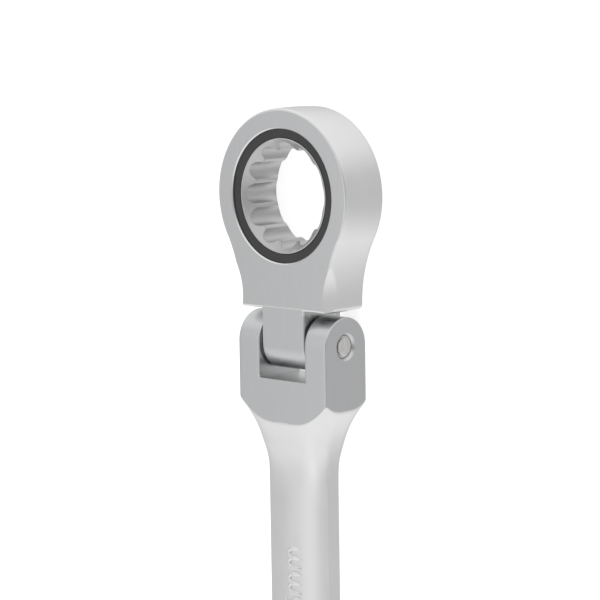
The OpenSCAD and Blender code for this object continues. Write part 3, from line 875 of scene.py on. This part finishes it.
second_m = pin_x + MARK_END - 2 * STEM_GAP - BEAD_HALF_W
first_m = second_m - 2 * STEM_GAP - M_GAP
number_tall = LETTER_H * NUMBER_SHARE
strokes = [*number_one(first_m - ONE_BACK, number_tall), *number_six(first_m - SIX_BACK, number_tall),
           *letter_m(first_m), *letter_m(second_m)]
mark = build("raised_size_mark", [bead(stroke) for stroke in strokes])
smooth(mark)

# %% [markdown]
# ## Finishes
# Chrome-plated tools have two surfaces. The forging is tumbled before plating, which gives a fine pearly
# satin, and the ground faces keep straight, hair-fine marks. Both are metal, so their colour is the colour of
# what they mirror, and the texture lies in roughness and in very small height changes. The shared effects
# are node groups that give out only colours and values; the shader itself stays in each material.

# %% Shared effects
def new_group(name, inputs, outputs):
    """An empty shader node group with named number inputs and outputs."""
    group = bpy.data.node_groups.new(name, "ShaderNodeTree")
    for label, kind, default in inputs:
        socket = group.interface.new_socket(label, in_out="INPUT", socket_type=kind)
        socket.default_value = default
    for label, kind in outputs:
        group.interface.new_socket(label, in_out="OUTPUT", socket_type=kind)
    return group, group.nodes.new("NodeGroupInput"), group.nodes.new("NodeGroupOutput")


def add(tree, kind, **settings):
    """A node with its settings; numbered or named inputs are set through the key 'inputs'."""
    node = tree.nodes.new(kind)
    inputs = settings.pop("inputs", {})
    for key, value in settings.items():
        setattr(node, key, value)
    for key, value in inputs.items():
        node.inputs[key].default_value = value
    return node


def pearl_grain_group():
    """Pearly grain: two sizes of noise in millimetres, as a value round 0.5."""
    group, given, out = new_group(
        "pearl_grain", [("Grains per mm", "NodeSocketFloat", 8)], [("Value", "NodeSocketFloat")])
    links = group.links
    place = add(group, "ShaderNodeTexCoord")
    scale = add(group, "ShaderNodeMath", operation="MULTIPLY", inputs={1: 1000})
    fine = add(group, "ShaderNodeTexNoise", inputs={"Detail": 4, "Roughness": 0.65})
    broad = add(group, "ShaderNodeTexNoise", inputs={"Scale": 260, "Detail": 2})
    blend = add(group, "ShaderNodeMix", inputs={0: 0.3})
    links.new(given.outputs[0], scale.inputs[0])
    links.new(scale.outputs[0], fine.inputs["Scale"])
    links.new(place.outputs["Object"], fine.inputs["Vector"])
    links.new(place.outputs["Object"], broad.inputs["Vector"])
    links.new(fine.outputs[0], blend.inputs[2])
    links.new(broad.outputs[0], blend.inputs[3])
    links.new(blend.outputs[0], out.inputs[0])
    return group


def grind_marks_group():
    """Grinding marks: noise squeezed hard along one direction, given by a stretch for each axis."""
    group, given, out = new_group(
        "grind_marks", [("Stretch", "NodeSocketVector", (60, 9000, 9000))], [("Value", "NodeSocketFloat")])
    links = group.links
    place = add(group, "ShaderNodeTexCoord")
    stretch = add(group, "ShaderNodeVectorMath", operation="MULTIPLY")
    lines = add(group, "ShaderNodeTexNoise", inputs={"Scale": 1, "Detail": 3, "Roughness": 0.6})
    links.new(place.outputs["Object"], stretch.inputs[0])
    links.new(given.outputs[0], stretch.inputs[1])
    links.new(stretch.outputs[0], lines.inputs["Vector"])
    links.new(lines.outputs[0], out.inputs[0])
    return group


def shade_group():
    """A tone and a roughness that follow a value from 0 to 1: each is its middle, plus or minus a share."""
    group, given, out = new_group(
        "tone_and_roughness",
        [("Value", "NodeSocketFloat", 0.5), ("Dark", "NodeSocketColor", (0.5, 0.5, 0.5, 1)),
         ("Light", "NodeSocketColor", (0.6, 0.6, 0.6, 1)), ("Rough low", "NodeSocketFloat", 0.3),
         ("Rough high", "NodeSocketFloat", 0.4)],
        [("Color", "NodeSocketColor"), ("Roughness", "NodeSocketFloat")])
    links = group.links
    spread = add(group, "ShaderNodeMapRange", inputs={1: 0.3, 2: 0.7})
    tone = add(group, "ShaderNodeMix", data_type="RGBA")
    rough = add(group, "ShaderNodeMapRange")
    links.new(given.outputs["Value"], spread.inputs[0])
    links.new(spread.outputs[0], tone.inputs[0])
    links.new(given.outputs["Dark"], tone.inputs[6])
    links.new(given.outputs["Light"], tone.inputs[7])
    links.new(spread.outputs[0], rough.inputs[0])
    links.new(given.outputs["Rough low"], rough.inputs[3])
    links.new(given.outputs["Rough high"], rough.inputs[4])
    links.new(tone.outputs[2], out.inputs["Color"])
    links.new(rough.outputs[0], out.inputs["Roughness"])
    return group


pearl_grain, grind_marks, tone_group = pearl_grain_group(), grind_marks_group(), shade_group()
print("shared effects:", ", ".join(group.name for group in (pearl_grain, grind_marks, tone_group)))


def metal(name, dark, light, rough, texture, setting, bump, depth_mm):
    """A metal finish: a texture group drives its tone, its roughness and a bump of a given depth."""
    material = bpy.data.materials.new(name)
    material.use_nodes = True
    tree = material.node_tree
    shader = tree.nodes["Principled BSDF"]
    shader.inputs["Metallic"].default_value = 1
    source = add(tree, "ShaderNodeGroup", node_tree=texture, inputs={0: setting})
    tone = add(tree, "ShaderNodeGroup", node_tree=tone_group, inputs={
        "Dark": (*dark, 1), "Light": (*light, 1), "Rough low": rough[0], "Rough high": rough[1]})
    height = add(tree, "ShaderNodeBump", inputs={"Strength": bump, "Distance": depth_mm * MM})
    tree.links.new(source.outputs[0], tone.inputs["Value"])
    tree.links.new(source.outputs[0], height.inputs["Height"])
    tree.links.new(tone.outputs["Color"], shader.inputs["Base Color"])
    tree.links.new(tone.outputs["Roughness"], shader.inputs["Roughness"])
    tree.links.new(height.outputs[0], shader.inputs["Normal"])
    return material


def grey(value, warmth=0.0):
    """A grey, slightly warm or cool."""
    return (value * (1 + warmth), value, value * (1 - warmth))


ALONG_X, ALONG_Z = (300, 9000, 9000), (9000, 9000, 400)      # the grinding marks' direction
satin = metal("satin_chrome", grey(0.80), grey(0.86), (0.30, 0.38), pearl_grain, 7, 0.25, 0.01)
ground = metal("ground_flat", grey(0.62, -0.01), grey(0.655, -0.01), (0.28, 0.34),
               grind_marks, ALONG_X, 0.08, 0.004)
bore_steel = metal("broached_steel", grey(0.52), grey(0.64), (0.36, 0.5), grind_marks, ALONG_Z, 0.5, 0.03)
dark_steel = metal("black_oxide", grey(0.07), grey(0.10), (0.34, 0.46), pearl_grain, 9, 0.3, 0.01)
pin_steel = metal("pin_steel", grey(0.60, 0.015), grey(0.9, 0.015), (0.18, 0.32),
                  pearl_grain, 1.4, 0.6, 0.06)
spring_steel = metal("spring_steel", grey(0.42, -0.02), grey(0.5, -0.02), (0.28, 0.4),
                     pearl_grain, 5, 0.3, 0.01)
gear_steel = metal("gear_steel", grey(0.45), grey(0.52), (0.3, 0.42), pearl_grain, 6, 0.3, 0.01)

# %% Put the finishes on
FLATNESS = 0.9995


def grind_flats(piece, rough_finish, flat_finish, machined, wanted):
    """Two finishes on one piece. The second goes on every face between the first two places in 'machined'
    along x and further out than the third, and on faces that look straight along Y or Z, given as an axis
    and a stretch of x."""
    mesh = piece.data
    mesh.materials.clear()
    mesh.materials.append(rough_finish)
    mesh.materials.append(flat_finish)
    normals, x, beside = face_directions(mesh)
    flat = (x > machined[0]) & (x < machined[1]) & (beside > machined[2])
    for axis, low_x, high_x in wanted:
        flat |= (normals[:, axis] > FLATNESS) & (x > low_x) & (x < high_x)
    mesh.polygons.foreach_set("material_index", flat.astype(np.int32))
    mesh.update()
    print(f"{piece.name}: {flat.sum()} ground faces")


grind_flats(handle, satin, ground, (pin_x + grind_line.max() + 0.2, pin_x + 6, SLOT_HALF_W + 0.05),
            [(2, pin_x - 16, pin_x), (1, pin_x - 13, pin_x),
             (2, handle_low[0], pin_x + jaw_x + JAW_FINISH_END)])
grind_flats(head, satin, ground, (pin_x - 6, pin_x + 5.5, -1), [(2, pin_x, ring_x + ring_r)])
for piece, finish in ((gear, bore_steel), (cover, dark_steel), (pin, pin_steel), (mark, satin)):
    piece.data.materials.append(finish)
for node, finish in (("left_spring_washer", spring_steel), ("right_spring_washer", spring_steel),
                     ("retaining_ring", spring_steel), ("pawl_spring", spring_steel), ("pawl", gear_steel)):
    for place in frame["nodes"][node].material_slots:
        place.material = finish

# %% [markdown]
# ## Joining the frame
# Each new surface stands for one CAD node and rides on that node's body, so that it moves as the real part
# does. The size mark belongs to the handle.

# %% Ride and replace
for piece, body, node, slot in ((handle, "handle", "handle", "satin_chrome"),
                                (head, "head", "head_housing", "satin_chrome"),
                                (gear, "gear", "drive_gear", "gear_steel"),
                                (cover, "head", "cover_ring", "black_steel"),
                                (pin, "handle", "flex_pin", "pin_steel")):
    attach(piece, body)
    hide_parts(node)
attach(mark, "handle")

# %% [markdown]
# ## Floor and light
# Polished metal shows its surroundings, so the light matters as much as the metal. A pale floor lies under
# the wrench. The room round it is brighter towards the wrench's two ends than across it, and dark where the
# camera stands. One soft panel above the wrench, to its left, adds a little.

# %% Floor and lights
FLOOR_WHITE = 0.8
FLOOR_LIFT = 0.7                 # extra brightness of the floor towards the camera only
ROOM_SIDES = 0.60                # brightness of the room across the wrench, where 1 is white
ROOM_ENDS = 0.95                 # brightness towards the wrench's two ends
CAMERA_SHADE = 0.45              # the dark camera hides this much of the room just behind it
FLOOR_GAP = 0.02                 # between the floor and the handle


def stage_floor():
    """A pale floor just under the wrench. It is lifted to white for the camera, like a lit table, while the
    metal mirrors it as it is lit."""
    half = 3000
    corners = np.array([[[-half, -half, 0], [half, -half, 0]], [[-half, half, 0], [half, half, 0]]], float)
    floor = build("floor", [sheet(corners + [0, 0, handle_low[2] - FLOOR_GAP])])
    paint = bpy.data.materials.new("pale_floor")
    paint.use_nodes = True
    shader = paint.node_tree.nodes["Principled BSDF"]
    shader.inputs["Base Color"].default_value = (FLOOR_WHITE, FLOOR_WHITE, FLOOR_WHITE, 1)
    shader.inputs["Roughness"].default_value = 1
    shader.inputs["Specular IOR Level"].default_value = 0
    shader.inputs["Emission Color"].default_value = (1, 1, 1, 1)
    seen = add(paint.node_tree, "ShaderNodeLightPath")
    lift = add(paint.node_tree, "ShaderNodeMath", operation="MULTIPLY", inputs={1: FLOOR_LIFT})
    paint.node_tree.links.new(seen.outputs["Is Camera Ray"], lift.inputs[0])
    paint.node_tree.links.new(lift.outputs[0], shader.inputs["Emission Strength"])
    floor.data.materials.append(paint)
    floor.visible_glossy = False
    return floor


def soft_panel(name, place, width, height, brightness):
    """A rectangular area light, in millimetres, that faces the pin. Its power is its brightness times pi
    times its area."""
    data = bpy.data.lights.new(name, "AREA")
    data.shape = "RECTANGLE"
    data.size, data.size_y = width * MM, height * MM
    data.energy = brightness * np.pi * data.size * data.size_y
    light = bpy.data.objects.new(name, data)
    light.location = Vector(place) * MM
    light.rotation_mode = "QUATERNION"
    light.rotation_quaternion = (Vector(place) - Vector((pin_x, 0, mid_z))).to_track_quat("Z", "Y")
    bpy.context.scene.collection.objects.link(light)
    return light


def studio_room():
    """A surround whose brightness depends on direction alone: it rises from the sides towards both ends of
    the wrench, with the absolute x of the direction, as between two long white cards. The camera and its
    stand mirror as a dark patch, from the direction's dot product with the way to the camera."""
    world = bpy.data.worlds.new("studio_room")
    world.use_nodes = True
    tree = world.node_tree
    direction = add(tree, "ShaderNodeTexCoord")
    parts = add(tree, "ShaderNodeSeparateXYZ")
    along = add(tree, "ShaderNodeMath", operation="ABSOLUTE")
    bright = add(tree, "ShaderNodeMapRange", interpolation_type="SMOOTHSTEP",
                 inputs={1: 0.2, 2: 0.7, 3: ROOM_SIDES, 4: ROOM_ENDS})
    tree.links.new(direction.outputs["Generated"], parts.inputs[0])
    tree.links.new(parts.outputs["X"], along.inputs[0])
    tree.links.new(along.outputs[0], bright.inputs[0])
    towards = add(tree, "ShaderNodeVectorMath", operation="DOT_PRODUCT", inputs={1: TO_CAMERA})
    clear = add(tree, "ShaderNodeMapRange", interpolation_type="SMOOTHSTEP",
                inputs={1: 0.90, 2: 0.99, 3: 1, 4: 1 - CAMERA_SHADE})
    both = add(tree, "ShaderNodeMath", operation="MULTIPLY")
    tree.links.new(direction.outputs["Generated"], towards.inputs[0])
    tree.links.new(towards.outputs["Value"], clear.inputs[0])
    tree.links.new(bright.outputs[0], both.inputs[0])
    tree.links.new(clear.outputs[0], both.inputs[1])
    tree.links.new(both.outputs[0], tree.nodes["Background"].inputs["Strength"])
    tree.nodes["Background"].inputs["Color"].default_value = (1, 1, 1, 1)
    bpy.context.scene.world = world


stage_floor()
soft_panel("top_panel", (pin_x - 80, 330, 620), 800, 330, 0.3)
studio_room()
bpy.context.scene.view_settings.view_transform = "Standard"
